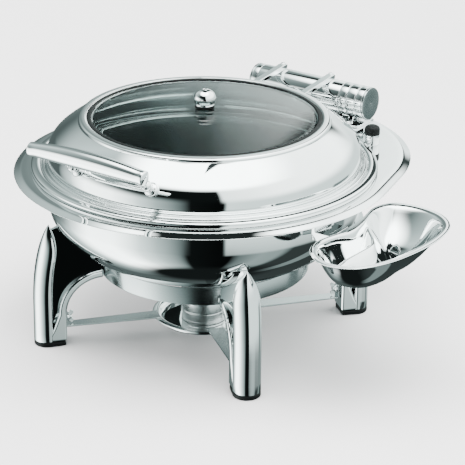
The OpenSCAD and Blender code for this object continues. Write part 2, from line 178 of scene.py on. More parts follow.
def rubber(name):
    """Matt black rubber with a fine grain and dustier high spots."""
    material, tree, shader, place = new_material(name)
    grain = add_noise(tree, place, 0.0006)
    patches = add_noise(tree, place, 0.02)
    colour = ramp(tree, patches, [(0.3, (0.0015, 0.0018, 0.0018)),
                                  (0.75, (0.005, 0.006, 0.006))])
    tree.links.new(colour, shader.inputs["Base Color"])
    tree.links.new(remap(tree, grain, 0.40, 0.60), shader.inputs["Roughness"])
    shader.inputs["Specular IOR Level"].default_value = 0.12
    add_bump(tree, shader, grain, 0.15, 0.0002)
    return material


def glass(name):
    """Clear tempered glass with a faint green cast and slight waviness."""
    material, tree, shader, place = new_material(name)
    shader.inputs["Transmission Weight"].default_value = 1.0
    shader.inputs["IOR"].default_value = 1.13
    haze = add_noise(tree, place, 0.04)
    colour = ramp(tree, haze, [(0.3, (0.90, 0.96, 0.95)), (0.7, (0.93, 0.98, 0.97))])
    tree.links.new(colour, shader.inputs["Base Color"])
    tree.links.new(remap(tree, haze, 0.0, 0.02), shader.inputs["Roughness"])
    return material


materials = {
    "polished_steel": steel("polished_steel", (0.80, 0.82, 0.82), 0.012, 0.02),
    "satin_steel": steel("satin_steel", (0.42, 0.46, 0.46), 0.14, 0.08, 0.0008),
    "chrome": steel("chrome", (0.86, 0.87, 0.87), 0.02, 0.03),
    "tin": steel("tin", (0.60, 0.63, 0.63), 0.24, 0.12),
    "dark_metal": steel("dark_metal", (0.16, 0.17, 0.17), 0.30, 0.15),
    "pan_steel_painted_shade_and_highlight": pan_steel_painted_shade_and_highlight("pan_steel_painted_shade_and_highlight"),
    "black_rubber": rubber("black_rubber"),
    "window_glass": glass("window_glass"),
}
slot_of = {part["node"]: part["material_slot"] for part in frame["record"]["subparts"]}
for node_name, node in frame["nodes"].items():
    node.data.materials.clear()
    node.data.materials.append(materials[slot_of[node_name]])


# ------------------------------------------------------------------ mesh helpers
def arc(centre, radius, start, end, steps=10):
    """Points of an arc, angles in degrees. radius is a number or (across, up)."""
    rx, ry = radius if isinstance(radius, tuple) else (radius, radius)
    angles = [math.radians(start + (end - start) * i / steps) for i in range(steps + 1)]
    return [(centre[0] + rx * math.cos(a), centre[1] + ry * math.sin(a)) for a in angles]


def smooth_line(points, steps, closed=False):
    """A Catmull-Rom curve through points of any dimension."""
    points = [Vector(p) for p in points]
    count = len(points)
    spans = count if closed else count - 1
    line = []
    for i in range(spans):
        pick = [(i + k) % count if closed else min(max(i + k, 0), count - 1)
                for k in (-1, 0, 1, 2)]
        a, b, c, d = (points[k] for k in pick)
        for step in range(steps):
            t = step / steps
            line.append(0.5 * (2 * b + (c - a) * t + (2 * a - 5 * b + 4 * c - d) * t * t
                               + (3 * b - a - 3 * c + d) * t ** 3))
    if not closed:
        line.append(points[-1])
    return line


def rounded(outline, radius):
    """A closed outline with each clear corner replaced by a small arc."""
    points = [Vector((p[0], p[1])) for p in outline]
    count = len(points)
    nearly_straight, steps = math.radians(158), 4
    result = []
    for i, here in enumerate(points):
        back = points[i - 1] - here
        ahead = points[(i + 1) % count] - here
        if back.length < 1e-6 or ahead.length < 1e-6:
            continue
        if back.angle(ahead) > nearly_straight:
            result.append(here)
            continue
        reach = min(radius, 0.45 * back.length, 0.45 * ahead.length)
        start, end = here + back.normalized() * reach, here + ahead.normalized() * reach
        for step in range(steps + 1):
            t = step / steps
            result.append((1 - t) ** 2 * start + 2 * t * (1 - t) * here + t * t * end)
    return result


def add_piece(name, points, faces, body, slot, nodes=(), turn=None, look=None):
    """A smooth-shaded piece that rides on a body and stands for some CAD nodes."""
    mesh = bpy.data.meshes.new(name)
    place = turn or Matrix.Identity(4)
    mesh.from_pydata([(place @ Vector(p)) * scale for p in points], [], faces)
    work = bmesh.new()
    work.from_mesh(mesh)
    bmesh.ops.remove_doubles(work, verts=work.verts, dist=2e-6)
    bmesh.ops.recalc_face_normals(work, faces=work.faces)
    for face in work.faces:
        face.smooth = True
    work.to_mesh(mesh)
    work.free()
    mesh.materials.append(materials[look or slot])
    piece = bpy.data.objects.new(name, mesh)
    bpy.context.scene.collection.objects.link(piece)
    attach(piece, body)
    if nodes:
        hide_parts(*nodes)
    return piece


def bevel(piece, width, segments=3, angle=30):
    """Rounds a piece's edges and keeps its flat faces flat."""
    edges = piece.modifiers.new("bevel", "BEVEL")
    edges.width = width * scale
    edges.segments = segments
    edges.limit_method = "ANGLE"
    edges.angle_limit = math.radians(angle)
    edges.harden_normals = True


def lathe(profile, segments=around):
    """Points and faces of a closed profile of (radius, height) turned about Z."""
    count = len(profile)
    points = [(p[0] * math.cos(tau * i / segments), p[0] * math.sin(tau * i / segments), p[1])
              for i in range(segments) for p in profile]
    faces = []
    for i in range(segments):
        here, there = i * count, (i + 1) % segments * count
        for k in range(count):
            ahead = (k + 1) % count
            faces.append((here + k, there + k, there + ahead, here + ahead))
    return points, faces


def skin(rings, closed_ends=True):
    """Points and faces of a surface through rings that have equally many points."""
    count = len(rings[0])
    points = [p for ring in rings for p in ring]
    faces = [(j * count + i, j * count + (i + 1) % count,
              (j + 1) * count + (i + 1) % count, (j + 1) * count + i)
             for j in range(len(rings) - 1) for i in range(count)]
    if closed_ends:
        last = (len(rings) - 1) * count
        faces.append(tuple(reversed(range(count))))
        faces.append(tuple(range(last, last + count)))
    return points, faces


def prism(outline, start, end):
    """Points and faces of a flat outline carried from one height to another."""
    return skin([[(p[0], p[1], height) for p in outline] for height in (start, end)])


def turned(name, profile, body, slot, nodes=(), turn=None, fillet=0.4, segments=around,
           look=None):
    """A turned piece with rounded corners."""
    points, faces = lathe(rounded(profile, fillet), segments)
    add_piece(name, points, faces, body, slot, nodes, turn, look)


def joined(parts):
    """Several (points, faces) lists as one."""
    points, faces = [], []
    for more_points, more_faces in parts:
        start = len(points)
        points += [tuple(p) for p in more_points]
        faces += [tuple(start + i for i in face) for face in more_faces]
    return points, faces


def placed(part, turn):
    """Points and faces moved by a matrix."""
    points, faces = part
    return [turn @ Vector(p) for p in points], faces


move = Matrix.Translation


def spin(degrees, axis):
    """A turn about an axis through the origin."""
    return Matrix.Rotation(math.radians(degrees), 4, axis)


# A side view drawn in X and Z, stood up out of the XY plane
upright = Matrix(((1, 0, 0, 0), (0, 0, -1, 0), (0, 1, 0, 0), (0, 0, 0, 1)))
# An end view drawn in Y and Z, carried along X
along_x = Matrix(((0, 0, 1, 0), (1, 0, 0, 0), (0, 1, 0, 0), (0, 0, 0, 1)))


# ------------------------------------------------------------------ stand
bowl_r = high("water_pan").x
bowl_mid, bowl_deep = 168, 87           # where the bowl's side is upright, depth of its curve
ring_r = high("stand_ring").x
ring_low, ring_high = low("stand_ring").z, high("stand_ring").z
floor_gap = high("foot_front_left").z
sides = ("front_left", "front_right", "rear_right", "rear_left")
stand_turn = 5
leg_turns = {side: spin(angle + stand_turn, "Z")
             for side, angle in zip(sides, (225, 315, 45, 135))}
leg_in, leg_out, leg_hw = 168, 204.5, 16    # inner and outer face, half width
column_x = leg_out - leg_hw                 # middle of the round column at its foot
lean_start, lean_high = 56, 104             # height where a leg starts to lean in, and its run
leg_tip = high("leg_front_left").z
arch_start = 107                            # height where the pointed arch begins
arch_high = leg_tip - arch_start + 1.2
arch_r = (leg_hw ** 2 + arch_high ** 2) / (2 * leg_hw)
arch_foot = 40                              # height where the inner arch springs


def bowl_at(z):
    """Radius of the bowl's outside at a height."""
    return bowl_r * math.sqrt(max(0, 1 - ((bowl_mid - z) / bowl_deep) ** 2))


def leg_half(z):
    """Half width of a leg at a height, closing to a pointed arch."""
    rise = max(0, z - arch_start)
    return leg_hw - arch_r + math.sqrt(max(0, arch_r ** 2 - rise ** 2))


def leg_back(z):
    """Distance of a leg's outer face from the centre at a height."""
    rise = min(1, max(0, (z - lean_start) / lean_high))
    return leg_in + (leg_out - leg_in) * math.sqrt(1 - rise ** 2)


def leg_column():
    """The round column of a leg, which leans in and closes to a point."""
    step_back, inner_round, thinnest, foot_inset = 0.06, 0.3, 0.25, 0.8
    heights = [floor_gap + 0.2] + [floor_gap + 1 + 10 * i for i in range(10)]
    heights += [arch_start + arch_high * math.sin(math.pi / 2 * i / 22) for i in range(22)]
    rings = []
    for z in heights:
        half = max(thinnest, leg_half(z) - (foot_inset if z < floor_gap + 0.5 else 0))
        outer = leg_back(z) - half
        inner = outer - step_back * half
        rings.append([(x, y, z) for x, y in
                      [(outer + half * math.cos(a), half * math.sin(a))
                       for a in [math.radians(-90 + 7.5 * k) for k in range(25)]]
                      + [(inner - inner_round * half * math.cos(a), half * math.sin(a))
                         for a in [math.radians(90 - 15 * k) for k in range(13)]]])
    return skin(rings)


def leg_arch(grow):
    """The curve of the arch under a leg, drawn outwards by a distance."""
    return arc((ring_r, arch_foot),
               (leg_in - ring_r + grow, ring_low - arch_foot + grow), 90, 0, 24)


def leg_band():
    """The thick band that follows the arch, and the flat inner side of the leg."""
    thick, half = 9, leg_hw - 0.4
    outline = (leg_arch(thick)
               + [(184, 22), (column_x, 14), (column_x, floor_gap + 0.2),
                  (leg_in, floor_gap + 0.2)]
               + leg_arch(0)[::-1])
    return placed(prism(outline, -half, half), upright)


def leg_web():
    """The web between column, band and bowl, thinner towards the column."""
    web_out, thin, taper = leg_out - 14, 1.5, 0.17
    outline = ([(web_out, floor_gap + 4)]
               + [(leg_back(z) - 2, z) for z in range(lean_start, 146, 6)]
               + [(bowl_at(z) + 0.4, z) for z in range(145, 107, -4)]
               + [(ring_r + 0.2, ring_high - 0.6)] + leg_arch(3))
    flat, faces = placed(prism(outline, -1, 1), upright)
    points = []
    for x, y, z in flat:
        half = min(leg_half(z), thin + taper * max(0, web_out - x))
        points.append((x, math.copysign(half, y), z))
    return points, faces


for side in sides:
    leg = add_piece("leg_" + side, *joined([leg_column(), leg_web()]), "stand",
                    "polished_steel", ["leg_" + side], leg_turns[side])
    bevel(leg, 1.2, 4, 40)
    band = add_piece("leg_band_" + side, *leg_band(), "stand", "polished_steel",
                     turn=leg_turns[side])
    bevel(band, 4.2, 6, 40)

    pad_in, pad_hw = leg_in + 1.4, leg_hw - 1.4
    pad_outline = (arc((column_x, 0), leg_hw, -90, 90, 24)
                   + [(pad_in, pad_hw), (pad_in, -pad_hw)])
    pad = add_piece("foot_pad_" + side, *prism(pad_outline, 0, floor_gap), "stand",
                    "black_rubber", ["foot_" + side], leg_turns[side])
    bevel(pad, 1.5, 4, 40)

turned("carrier_ring",
       [(ring_r, ring_low), (ring_r, ring_high), (ring_r - 2, ring_high), (ring_r - 2, ring_low)],
       "stand", "satin_steel", ["stand_ring"], fillet=0.9)

cup_r, cup_lip, cup_t = 54, high("burner_cup").x, 1.2
cup_low, cup_top = low("burner_cup").z, high("burner_cup").z
turned("burner_dish",
       [(0, cup_low), (cup_r - 3, cup_low), (cup_r, cup_low + 3), (cup_r, cup_top - cup_t),
        (cup_lip, cup_top - cup_t), (cup_lip, cup_top), (cup_r - cup_t, cup_top),
        (cup_r - cup_t, cup_low + 3.4), (cup_r - 3.4, cup_low + cup_t), (0, cup_low + cup_t)],
       "stand", "polished_steel", ["burner_cup"], fillet=1.4)

strap_low, strap_high = low("strap_front_left").z, high("strap_front_left").z
strap_in, strap_t = cup_r + 1, 2
half_in, half_out = 10, 7           # half width of a strap at the cup and at the leg
for side in sides:
    flat = prism([(strap_in, -half_in), (leg_in, -half_out), (leg_in, half_out),
                  (strap_in, half_in)], strap_low, strap_low + strap_t)
    tab = prism([(leg_in - strap_t, -half_out), (leg_in, -half_out), (leg_in, half_out),
                 (leg_in - strap_t, half_out)], strap_low + 0.5, strap_high)
    strap = add_piece("burner_strap_" + side, *joined([flat, tab]), "stand", "satin_steel",
                      ["strap_" + side], leg_turns[side])
    bevel(strap, 0.5, 2)


screw_z = 31                # height of the screws' axis


def wing_screw(side):
    """A wing screw: round head, neck and two rounded wings."""
    head = placed(lathe(rounded([(0, 0), (5.4, 0), (5.4, 2.5), (3.4, 4), (3.4, 6), (0, 6)], 0.6),
                        48), spin(-90, "Y"))
    wing_outline = (arc((5, 5.4), 2.8, 10, 200, 10) + arc((-5, 5.4), 2.8, -20, 170, 10)
                    + [(-3, 0), (3, 0)])
    wings = placed(prism(rounded(wing_outline, 0.5), -1.2, 1.2),
                   spin(-90, "Y") @ spin(90, "X"))
    place = leg_turns[side] @ move((leg_in - strap_t, 0, screw_z))
    return placed(joined([head, wings]), place)


screws = add_piece("wing_screws", *joined([wing_screw(side) for side in sides]), "stand",
                   "chrome", ["strap_screws"])
bevel(screws, 0.4, 2, 50)

# ------------------------------------------------------------------ burner
can_r = high("fuel_can").x
can_low, can_top = low("fuel_can").z, high("fuel_can").z
flame_r = 15                # radius of the can's mouth
turned("gel_can",
       [(0, can_low), (can_r - 2, can_low), (can_r - 2, can_low + 0.8), (can_r, can_low + 0.2),
        (can_r, can_low + 2.4), (can_r - 0.8, can_low + 3.2), (can_r - 0.8, can_low + 12),
        (can_r - 1.4, can_low + 13), (can_r - 0.8, can_low + 14), (can_r - 0.8, can_top - 14),
        (can_r - 1.4, can_top - 13), (can_r - 0.8, can_top - 12), (can_r - 0.8, can_top - 4),
        (can_r, can_top - 3), (can_r, can_top - 0.2), (can_r - 2, can_top),
        (can_r - 2.4, can_top - 1), (flame_r + 0.8, can_top - 1), (flame_r, can_top),
        (flame_r, can_top - 12), (flame_r - 1.2, can_top - 13), (0, can_top - 13)],
       "fuel_can", "tin", ["fuel_can"], fillet=0.5, segments=128)

# ------------------------------------------------------------------ water pan
plate_z = high("cover_plate").z
sheet = 1.5                 # thickness of the stainless sheet
bowl_floor = low("water_pan").z


def bowl_profile():
    """Outside and inside of the spun bowl."""
    def side(inset):
        deepest = -math.degrees(math.asin((bowl_mid - bowl_floor - inset) / (bowl_deep - inset)))
        return arc((0, bowl_mid), (bowl_r - inset, bowl_deep - inset), deepest, 0, 48)
    outer, inner = side(0), side(sheet)
    top = plate_z - sheet
    return ([(0, bowl_floor)] + outer + [(bowl_r, top), (bowl_r - sheet, top)]
            + inner[::-1] + [(0, bowl_floor + sheet)])


turned("water_bowl", bowl_profile(), "water_pan", "polished_steel", ["water_pan"], fillet=3)

plate_r = high("cover_plate").x
lobe_y = 64                 # centre of the wider back
lobe_r = high("cover_plate").y - lobe_y
hole_r = 165                # opening that the food pan hangs in


def plate_ring(inset, z):
    """The plate's outline, a circle with a wider lobe behind, drawn in by a distance."""
    switch = math.degrees(math.asin((plate_r - lobe_r) / lobe_y))
    back = arc((0, lobe_y), lobe_r - inset, switch, 180 - switch, 96)
    front = arc((0, 0), plate_r - inset, 180 - switch, 360 + switch, 128)
    return [(x, y, z) for x, y in back + front]


def hole_ring(z, radius=hole_r):
    """The round opening with as many points as the outline."""
    result = []
    for x, y, _ in plate_ring(0, z):
        reach = math.hypot(x, y)
        result.append((x * radius / reach, y * radius / reach, z))
    return result


def cover_plate():
    """The flat plate, its sloping edge and the turned-under sheet."""
    flat, slope, drop = plate_z, 8.5, 4
    rings = [hole_ring(flat - sheet), hole_ring(flat - 0.5), hole_ring(flat, hole_r + 0.5),
             hole_ring(flat, hole_r + 12), plate_ring(slope + 8, flat),
             plate_ring(slope + 0.9, flat), plate_ring(slope + 0.3, flat - 0.04),
             plate_ring(slope - 0.5, flat - 0.25)]
    rings += [plate_ring(slope * (1 - t), flat - drop * t) for t in (0.25, 0.5, 0.75, 0.93)]
    rings += [plate_ring(0.12, flat - drop + 0.1), plate_ring(0.3, flat - drop),
              plate_ring(1.4, flat - drop)]
    rings += [plate_ring(slope + 1, flat - sheet), plate_ring(slope + 8, flat - sheet),
              hole_ring(flat - sheet, hole_r + 12)]
    points, faces = skin(rings, closed_ends=False)
    count, last = len(rings[0]), len(rings) - 1
    faces += [(last * count + i, last * count + (i + 1) % count, (i + 1) % count, i)
              for i in range(count)]
    return points, faces


add_piece("pan_cover", *cover_plate(), "water_pan", "polished_steel", ["cover_plate"])

food_low, food_top = low("food_pan").z, high("food_pan").z
food_r, food_t, food_corner, flange = hole_r - 2, 1.2, 14, 9
corner = (food_r - food_corner, food_low + food_corner)
# The pan's look paints shade on its inside and a highlight on its rim.
turned("food_pan_inset",
       [(0, food_low)] + arc(corner, food_corner, -90, 0, 12)
       + [(food_r, plate_z + 0.4), (food_r + flange, plate_z + 0.4)]
       + arc((food_r + flange, plate_z + 1.6), 1.2, -80, 80, 6)
       + [(food_r - food_t, food_top)] + arc(corner, food_corner - food_t, 0, -90, 12)
       + [(0, food_low + food_t)],
       "food_pan", "satin_steel", ["food_pan"], fillet=1.6, look="pan_steel_painted_shade_and_highlight")

# ------------------------------------------------------------------ hinge
hinge_y, hinge_z = 232, 232
barrel_r = (high("hinge_sleeve").z - low("hinge_sleeve").z) / 2
sleeve_left, sleeve_right = low("hinge_sleeve").x, high("hinge_sleeve").x
barrel_left, barrel_right = low("barrel_cap_left").x, high("barrel_cap_right").x
cap_t = 3                   # thickness of the barrel's end caps
to_hinge = move((0, hinge_y, hinge_z)) @ spin(90, "Y")


def barrel_profile(start, end, grooves):
    """Outline of a stretch of barrel, with narrow grooves at some places."""
    bottom, width, edge = barrel_r - 1, 1.6, 0.5
    profile = [(0, start), (barrel_r, start)]
    for groove in grooves:
        profile += [(barrel_r, groove), (bottom, groove + 0.1),
                    (bottom, groove + width - 0.1), (barrel_r, groove + width)]
    return rounded(profile + [(barrel_r, end), (0, end)], edge)


def barrel(name, start, end, body, slot, nodes=(), grooves=()):
    """A stretch of the hinge's barrel."""
    points, faces = lathe(barrel_profile(start, end, grooves), 128)
    add_piece(name, points, faces, body, slot, nodes, to_hinge)


barrel("sleeve", sleeve_left, sleeve_right, "lid", "polished_steel", ["hinge_sleeve"])
barrel("end_cap_left", barrel_left, barrel_left + cap_t, "water_pan", "satin_steel",
       ["barrel_cap_left"])
barrel("end_cap_right", barrel_right - cap_t, barrel_right, "water_pan", "satin_steel",
       ["barrel_cap_right"])

base_low, base_high = low("hinge_base"), high("hinge_base")
base_back = low("hinge_bolts").y + 37.5     # back edge of the base plate
base_t, cheek_half = 3, 8
joint_gap = 0.5             # between the turning sleeve and the fixed collars
collar_grooves = (57, 70)
rib_top = hinge_z - barrel_r - 0.6
rib_front, rib_back = hinge_y - cheek_half, hinge_y + cheek_half


def block(left, right, front, back, bottom, top):
    """Points and faces of a block between six planes."""
    return prism([(left, front), (right, front), (right, back), (left, back)], bottom, top)


def hinge_base():
    """Base plate, the rib under the sleeve and the two cheeks under the collars."""
    top = plate_z + base_t
    parts = [block(base_low.x, base_high.x, base_low.y, base_back, plate_z, top),
             block(sleeve_left - 1, sleeve_right + 1, rib_front, rib_back, top - 0.5, rib_top)]
    for start, end in ((base_low.x, sleeve_left - joint_gap),
                       (sleeve_right + joint_gap, base_high.x)):
        parts.append(block(start + 0.3, end - 0.3, rib_front, rib_back, top - 0.5, hinge_z - 6))
    return joined(parts)


def rib_teeth():
    """A row of small upright ridges along the front of the rib."""
    pitch, tooth, proud = 4.4, 2.2, 1.2
    count = int((sleeve_right - sleeve_left) / pitch)
    starts = [sleeve_left + pitch * (i + 0.25) for i in range(count)]
    return joined([block(x, x + tooth, rib_front - proud, rib_front + 0.5,
                         plate_z + base_t + 0.4, rib_top - 0.3) for x in starts])


# The ridges' dark steel is painted shade, standing for the shade under the barrel.
teeth = add_piece("rib_ridges_painted_shade", *rib_teeth(), "water_pan", "dark_metal")
bevel(teeth, 0.4, 2)
base = add_piece("hinge_foot", *hinge_base(), "water_pan", "polished_steel", ["hinge_base"])
bevel(base, 0.8, 3)
barrel("collar_left", base_low.x, sleeve_left - joint_gap, "water_pan", "polished_steel")
barrel("collar_right", sleeve_right + joint_gap, base_high.x, "water_pan", "polished_steel",
       grooves=collar_grooves)


def cap_bolt(x, y):
    """A domed bolt head on a thin washer, with its hex nut under the plate."""
    head = lathe(rounded([(0, 0), (4.1, 0), (4.1, 0.6), (3.4, 0.7)]
                         + arc((0, 0.7), (3.3, 2.1), 0, 84, 6) + [(0, 2.75)], 0.2), 48)
    nut_r, nut_t = 4, 3
    under = -base_t - sheet
    nut = prism([(nut_r * math.cos(tau * k / 6), nut_r * math.sin(tau * k / 6))
                 for k in range(6)], under - nut_t, under)
    return placed(joined([head, nut]), move((x, y, plate_z + base_t)))


bolt_low, bolt_high = low("hinge_bolts"), high("hinge_bolts")
bolt_r = 4                  # radius of a bolt head in the CAD model
bolt_places = [(x, y) for x in (bolt_low.x + bolt_r, bolt_high.x - bolt_r)
               for y in (bolt_low.y + bolt_r, bolt_high.y - bolt_r)]
bolts = add_piece("base_bolts", *joined([cap_bolt(x, y) for x, y in bolt_places]), "water_pan",
                  "chrome", ["hinge_bolts"])
bevel(bolts, 0.25, 2, 50)

post_low, post_high = low("bumper_post"), high("bumper_post")
post_place = move(((post_low.x + post_high.x) / 2, (post_low.y + post_high.y) / 2, 0))
post_r = (post_high.x - post_low.x) / 2
pad_r = post_r + 0.7
turned("bumper_stem",
       [(0, plate_z), (post_r, plate_z), (post_r, post_high.z), (0, post_high.z)],
       "water_pan", "chrome", ["bumper_post"], post_place, segments=64)
turned("bumper_cap",
       [(0, post_high.z), (pad_r, post_high.z)] + arc((pad_r - 5, post_high.z + 6), 4.95, 0, 84, 8)
       + [(0, high("bumper_pad").z)],
       "water_pan", "black_rubber", ["bumper_pad"], post_place, segments=64)

# ------------------------------------------------------------------ lid
lid_r = high("lid_dome").x
lip_z = low("lid_dome").z
land_z = high("lid_dome").z
land_r = 128                # inner edge of the flat land that carries the window
dome_low, dome_low_r, dome_turn = (149.7, 220), 32, 50
dome_top_r, dome_end = 160, 60.8
lean = math.radians(dome_turn)
dome_top = (dome_low[0] - (dome_top_r - dome_low_r) * math.cos(lean),
            dome_low[1] - (dome_top_r - dome_low_r) * math.sin(lean))


def dome_curve(inset):
    """The dome's side from the rim up to the window."""
    return (arc(dome_low, dome_low_r - inset, -14.5, dome_turn, 40)
            + arc(dome_top, dome_top_r - inset, dome_turn, dome_end, 10)[1:])


def dome_profile():
    """The spun lid: rolled rim, two beads, dome and the land for the window."""
    rim = smooth_line([(lid_r - 0.1, lip_z + 1.6), (lid_r, 209.4), (lid_r - 0.6, 211.2),
                       (lid_r - 2.4, 212.4), (193.9, 213.3), (190.2, 212.9), (188.3, 211.5)], 5)
    bead = smooth_line([(187.7, 211.5), (186.9, 212.7), (185.3, 213.3), (183.7, 212.8),
                        (182.7, 211.7), (181.6, 211.5)], 5)
    inner = dome_curve(sheet)[::-1]
    return ([(lid_r - 1.4, lip_z), (lid_r - 0.3, lip_z)] + rim + bead + dome_curve(0)
            + [(land_r, land_z), (land_r, land_z - sheet)] + inner
            + [(181, 209.8), (lid_r - 1.4, 209.8)])


turned("lid_shell", dome_profile(), "lid", "polished_steel", ["lid_dome"], fillet=0.4,
       segments=256)

bead_high = high("window_bead")
bead_outer = bead_high.x
gasket_r = high("window_gasket").x
turned("window_bezel",
       [(bead_outer, land_z - 0.2), (bead_outer - 0.1, land_z + 0.6)]
       + arc((bead_outer - 3.9, land_z + 0.6), (3.8, bead_high.z - land_z - 0.6), 8, 90, 10)
       + [(gasket_r + 1.9, bead_high.z), (gasket_r + 1.2, bead_high.z - 0.5),
          (gasket_r + 0.1, bead_high.z - 0.7), (gasket_r, land_z - 0.2)],
       "lid", "chrome", ["window_bead"], fillet=0.5, segments=256)
gasket_w, gasket_t = 5, 4
gasket_top = land_z + gasket_t
glass_r = gasket_r - gasket_w
turned("gasket",
       [(glass_r, land_z), (gasket_r, land_z), (gasket_r, gasket_top - 0.6),
        (gasket_r - 0.8, gasket_top), (glass_r + 0.8, gasket_top), (glass_r, gasket_top - 0.6)],
       "lid", "black_rubber", ["window_gasket"], fillet=0.8, segments=256)

glass_top, glass_edge = high("window_glass").z, 3
glass_rise = glass_top - land_z - glass_edge
glass_curve = (glass_r ** 2 + glass_rise ** 2) / (2 * glass_rise)
glass_t, glass_bore = 4, 4.1


def glass_profile():
    """The domed glass, bored for the vent knob."""
    def cap(radius, edge_r):
        end = math.degrees(math.asin(edge_r / radius))
        start = math.degrees(math.asin(glass_bore / radius))
        centre = glass_top - glass_curve
        return [(radius * math.sin(math.radians(a)), centre + radius * math.cos(math.radians(a)))
                for a in [start + (end - start) * i / 24 for i in range(25)]]
    return (cap(glass_curve, glass_r - 0.05) + [(glass_r - 0.05, land_z + 0.05)]
            + cap(glass_curve - glass_t, glass_r - 2.5)[::-1])


turned("glass_window", glass_profile(), "lid", "window_glass", ["window_glass"], fillet=0.5,
       segments=256)

knob_top = high("vent_knob").z
knob_r = high("vent_knob").x
turned("steam_knob",
       [(2, glass_top - 9.5), (4, glass_top - 9.5), (4, glass_top + 1.6),
        (10, glass_top + 1.6), (11.2, glass_top + 3), (10.2, glass_top + 4.6),
        (knob_r - 1.6, glass_top + 6.4), (knob_r - 0.1, glass_top + 9)]
       + arc((0, glass_top + 10.5), (knob_r, knob_top - glass_top - 10.5), 4, 80, 16)
       + [(2.4, knob_top - 0.1), (2, knob_top - 0.8)],
       "lid", "chrome", ["vent_knob"], fillet=1.2, segments=96)
# A black disc down the knob's bore is painted shade in the vent hole.
turned("knob_vent_painted_shade",
       [(0, knob_top - 3), (2.1, knob_top - 3), (2.1, knob_top - 1.6), (0, knob_top - 1.6)],
       "lid", "black_rubber", fillet=0.2, segments=32)
turned("knob_washer",
       [(4.1, glass_top + 0.1), (11.4, glass_top + 0.1), (11.4, glass_top + 1.45),
        (4.1, glass_top + 1.45)],
       "lid", "black_rubber", ["vent_washer"], fillet=0.5, segments=96)

arm_places = {"left": low("hinge_arm_left").x, "right": low("hinge_arm_right").x}
arm_w, arm_t = 9, 6


def arm_outline():
    """An arm from the side, in Y and Z: a flat bar from the dome to the barrel's top."""
    rise, end = 5.9, 78
    root_y, root_low, root_high = 152, 244.2, 249.9
    over = arc((hinge_y, hinge_z), barrel_r + arm_t - 0.1, 90 + rise, end, 8)
    under = arc((hinge_y, hinge_z), barrel_r + 0.05, end, 90 + rise, 8)
    return [(root_y, root_low), (root_y, root_high)] + over + under


for side, start in arm_places.items():
    arm = add_piece("arm_" + side, *placed(prism(arm_outline(), start, start + arm_w), along_x),
                    "lid", "polished_steel", ["hinge_arm_" + side])
    bevel(arm, 0.9, 3, 40)


def arm_screw(x):
    """A domed screw on top of an arm."""
    lean_back = -3
    head = lathe(rounded([(0, -0.4), (3.2, -0.4), (3.2, 0.4)]
                         + arc((0, 0.4), (3.1, 1.5), 0, 84, 6) + [(0, 1.88)], 0.2), 40)
    on_top = spin(lean_back, "X") @ move((0, 0, barrel_r + arm_t))
    return placed(head, move((x, hinge_y, hinge_z)) @ on_top)


add_piece("arm_caps", *joined([arm_screw(start + arm_w / 2) for start in arm_places.values()]),
          "lid", "chrome", ["arm_screws"])

# ------------------------------------------------------------------ handle
bar_box = (low("handle_bar"), high("handle_bar"))
handle_half = 79
handle_y = (bar_box[0].y + bar_box[1].y) / 2
handle_z, handle_arch = 272, 3      # height of the bar's ends, rise of its middle
bar_mid, bar_neck, bar_end = 10.5, 7.2, 8.5     # radius in the middle, before and at the ends
bow_r = (handle_half ** 2 + handle_arch ** 2) / (2 * handle_arch)


def bar_radius(share):
    """Radius of the bar at a share of its half length: full in the middle, flared ends."""
    flare_from = 0.85
    flare = max(0, (abs(share) - flare_from) / (1 - flare_from))
    return bar_neck + (bar_mid - bar_neck) * (1 - share ** 2) + (bar_end - bar_neck) * flare ** 2


def handle_bar():
    """The bowed bar with its rounded ends."""
    half_angle = math.asin(handle_half / bow_r)
    body, cap = 0.965, 0.034
    spans, sides_round = 64, 48
    shares = [body * (-1 + 2 * i / spans) for i in range(spans + 1)]
    end_cap = [(body + cap * math.sin(math.radians(a)),
                bar_radius(body) * math.cos(math.radians(a)))
               for a in (10, 20, 30, 40, 50, 60, 70, 79, 86)]
    stations = ([(-share, r) for share, r in end_cap[::-1]]
                + [(share, bar_radius(share)) for share in shares] + end_cap)
    rings = []
    for share, radius in stations:
        bend = share * half_angle
        ring = []
        for k in range(sides_round):
            turn = tau * k / sides_round
            out = bow_r + radius * math.cos(turn)
            ring.append((out * math.sin(bend), handle_y + radius * math.sin(turn),
                         handle_z + handle_arch - bow_r + out * math.cos(bend)))
        rings.append(ring)
    return skin(rings)


add_piece("handle_grip", *handle_bar(), "lid", "chrome", ["handle_bar"])

post_x = 50
post_foot = Vector((0, -168.5, 238))
bar_point = Vector((0, handle_y, handle_z + handle_arch * (1 - (post_x / handle_half) ** 2)))
post_run = bar_point - post_foot
post_lean = math.degrees(math.atan2(-post_run.y, post_run.z))
post_top = post_run.length - bar_radius(post_x / handle_half)
post_profile = ([(0, -1.5), (8, -1.5), (8, 2.6), (6.6, 4.2), (4.4, 4.8), (4.2, 7.2)]
                + arc((0, 13), (6.4, 6.4), -50, 50, 14)
                + [(4.2, 19.4), (4.2, post_top - 1.5), (5.2, post_top + 0.4), (5.2, post_top + 2),
                   (0, post_top + 2)])
for side, sign in (("left", -1), ("right", 1)):
    place = move((sign * post_x, post_foot.y, post_foot.z)) @ spin(post_lean, "X")
    turned("handle_stem_" + side, post_profile, "lid", "chrome", ["handle_post_" + side],
           place, fillet=0.7, segments=64)

